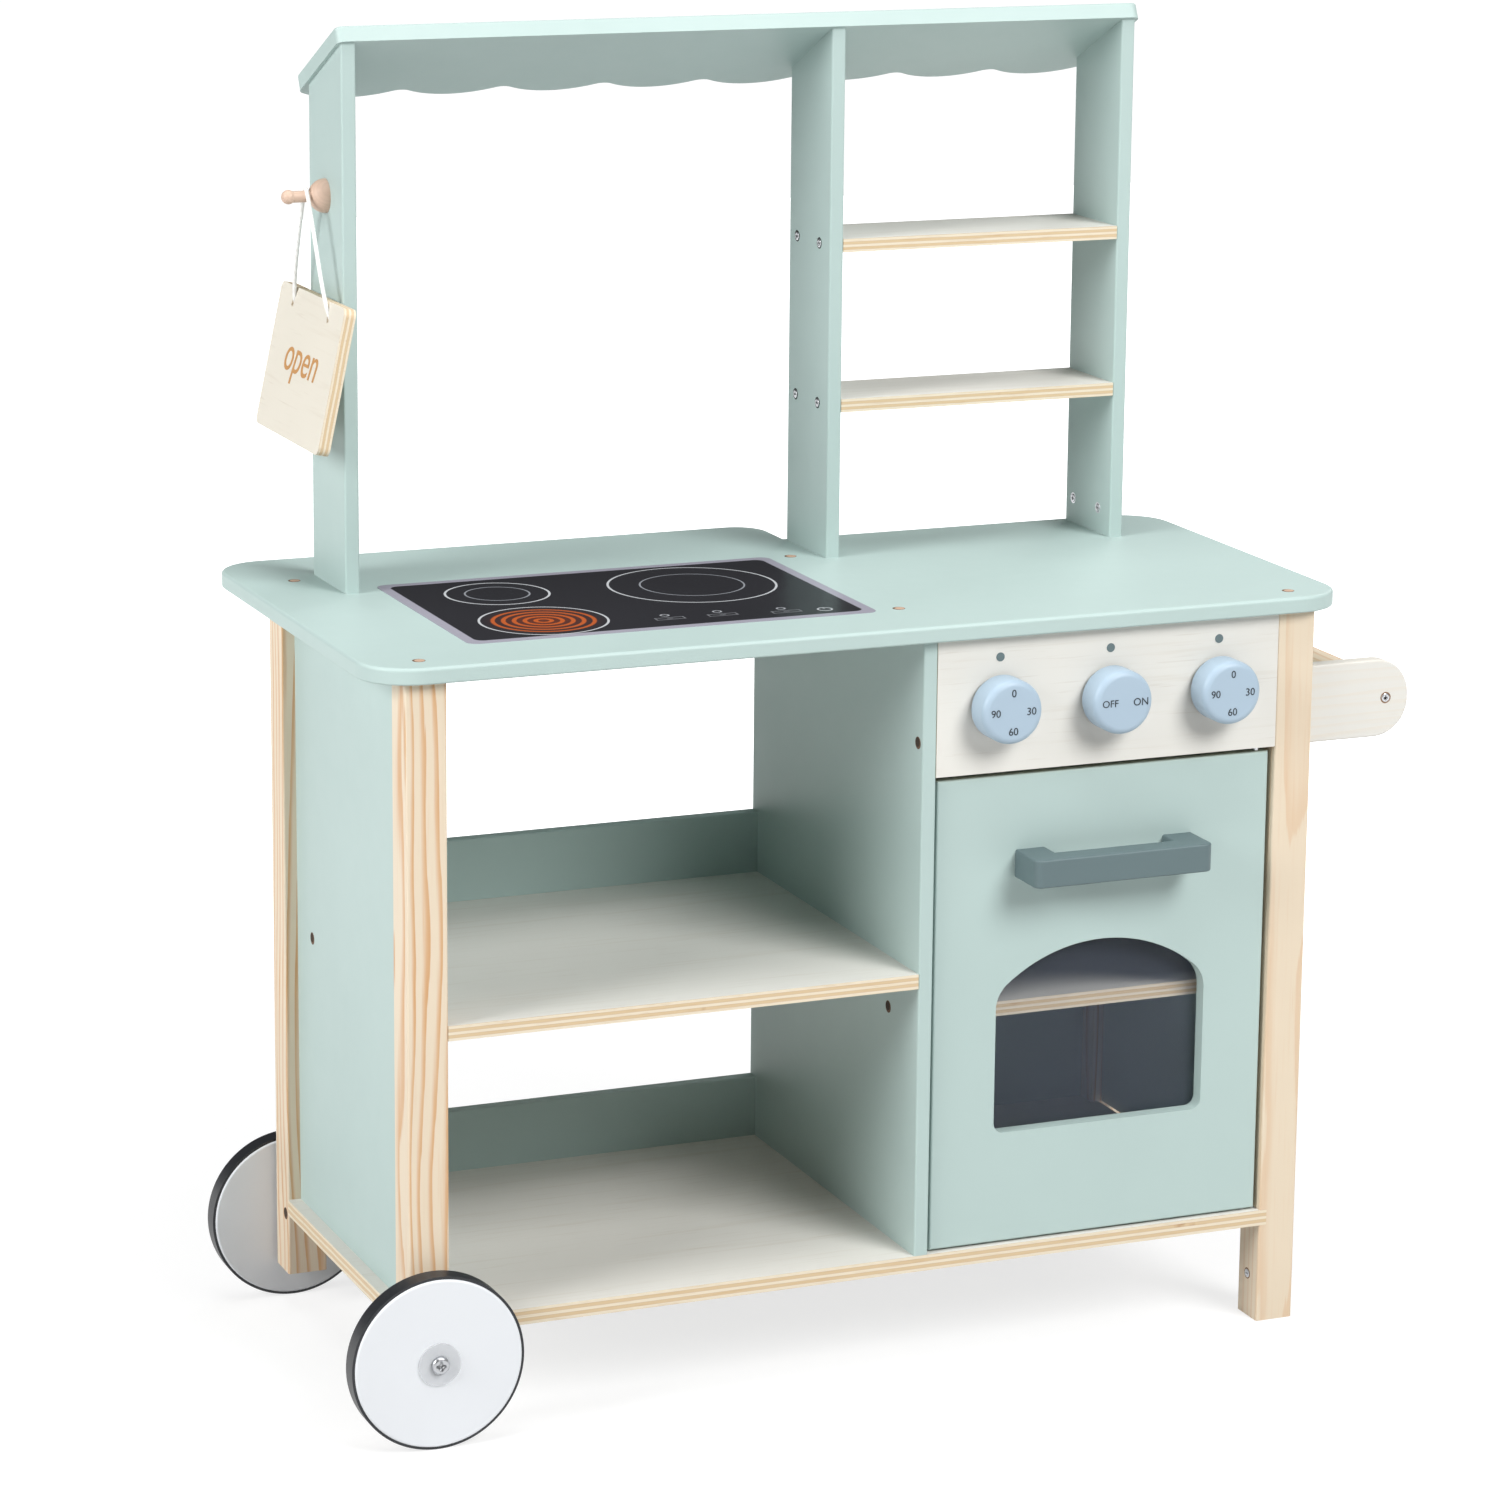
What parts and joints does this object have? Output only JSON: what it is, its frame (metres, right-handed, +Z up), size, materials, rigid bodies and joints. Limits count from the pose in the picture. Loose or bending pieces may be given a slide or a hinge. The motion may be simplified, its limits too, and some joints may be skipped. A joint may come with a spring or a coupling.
{
  "type": "play kitchen",
  "caption": "Toy kitchen stall on two wheels with an oven, turning knobs, a printed hob, open shelves, a scalloped canopy, a push handle and a hanging sign.",
  "frame": {"origin": "on the floor, under the middle of the whole kitchen", "axes": "+X to the right along the counter, +Y to the back, +Z up"},
  "size_m": [0.8374, 0.412, 0.9708],
  "materials": {
    "mint_paint": "satin paint",
    "pine": "clear lacquer",
    "whitewashed_ply": "white wash",
    "steel": "plated",
    "rubber": "matt",
    "wheel_white": "satin paint",
    "knob_blue": "satin paint",
    "handle_slate": "satin paint",
    "tinted_acrylic": "gloss",
    "beech": "clear lacquer",
    "cord": "woven",
    "nylon": "translucent",
    "hob_film": "gloss print",
    "sign_ply": "clear lacquer"
  },
  "bodies": {
    "kitchen": {"worktop": "mint_paint", "hob_print": "hob_film", "base_board": "whitewashed_ply", "left_side_panel": "mint_paint", "right_side_panel": "mint_paint", "divider_panel": "mint_paint", "middle_shelf": "whitewashed_ply", "base_rail": "mint_paint", "middle_rail": "mint_paint", "oven_back_panel": "mint_paint", "oven_shelf": "whitewashed_ply", "control_panel": "whitewashed_ply", "door_pivot_bottom": "steel", "door_pivot_top": "steel", "left_upright": "mint_paint", "middle_upright": "mint_paint", "right_upright": "mint_paint", "upper_shelf_top": "whitewashed_ply", "upper_shelf_bottom": "whitewashed_ply", "canopy": "mint_paint", "handle_bracket_front": "pine", "handle_bracket_rear": "pine", "handle_bar": "pine", "hang_peg": "beech", "post_front_left": "pine", "post_front_right": "pine", "wheel_washer_front": "nylon", "wheel_spacer_front": "nylon", "axle_screw_front": "steel", "post_rear_left": "pine", "post_rear_right": "pine", "wheel_washer_rear": "nylon", "wheel_spacer_rear": "nylon", "axle_screw_rear": "steel", "knob_left_spindle": "beech", "knob_centre_spindle": "beech", "knob_right_spindle": "beech"},
    "front_wheel": {"wheel_front": "wheel_white", "tyre_front": "rubber"},
    "rear_wheel": {"wheel_rear": "wheel_white", "tyre_rear": "rubber"},
    "left_knob": {"knob_left": "knob_blue"},
    "centre_knob": {"knob_centre": "knob_blue"},
    "right_knob": {"knob_right": "knob_blue"},
    "door": {"oven_door": "mint_paint", "oven_window": "tinted_acrylic", "door_handle": "handle_slate"},
    "sign": {"sign_board": "sign_ply", "sign_cord": "cord"}
  },
  "joints": [
    {"name": "front_wheel_spin", "type": "hinge", "parent": "kitchen", "child": "front_wheel", "pos_m": [-0.35525, -0.1865, 0.0635], "axis": [0, 1, 0], "continuous": true},
    {"name": "rear_wheel_spin", "type": "hinge", "parent": "kitchen", "child": "rear_wheel", "pos_m": [-0.35525, 0.1525, 0.0635], "axis": [0, 1, 0], "continuous": true},
    {"name": "left_knob_turn", "type": "hinge", "parent": "kitchen", "child": "left_knob", "pos_m": [0.07775, -0.187, 0.496], "axis": [0, 1, 0], "range_deg": [0, 270]},
    {"name": "centre_knob_turn", "type": "hinge", "parent": "kitchen", "child": "centre_knob", "pos_m": [0.16575, -0.187, 0.496], "axis": [0, 1, 0], "range_deg": [-90, 90]},
    {"name": "right_knob_turn", "type": "hinge", "parent": "kitchen", "child": "right_knob", "pos_m": [0.25375, -0.187, 0.496], "axis": [0, 1, 0], "range_deg": [0, 270]},
    {"name": "oven_door_swing", "type": "hinge", "parent": "kitchen", "child": "door", "pos_m": [0.29175, -0.1645, 0.266], "axis": [0, 0, 1], "range_deg": [0, 110]},
    {"name": "sign_swing", "type": "hinge", "parent": "kitchen", "child": "sign", "pos_m": [-0.33475, 0.1045, 0.846], "axis": [1, 0, 0], "range_deg": [-25, 25]}
  ]
}
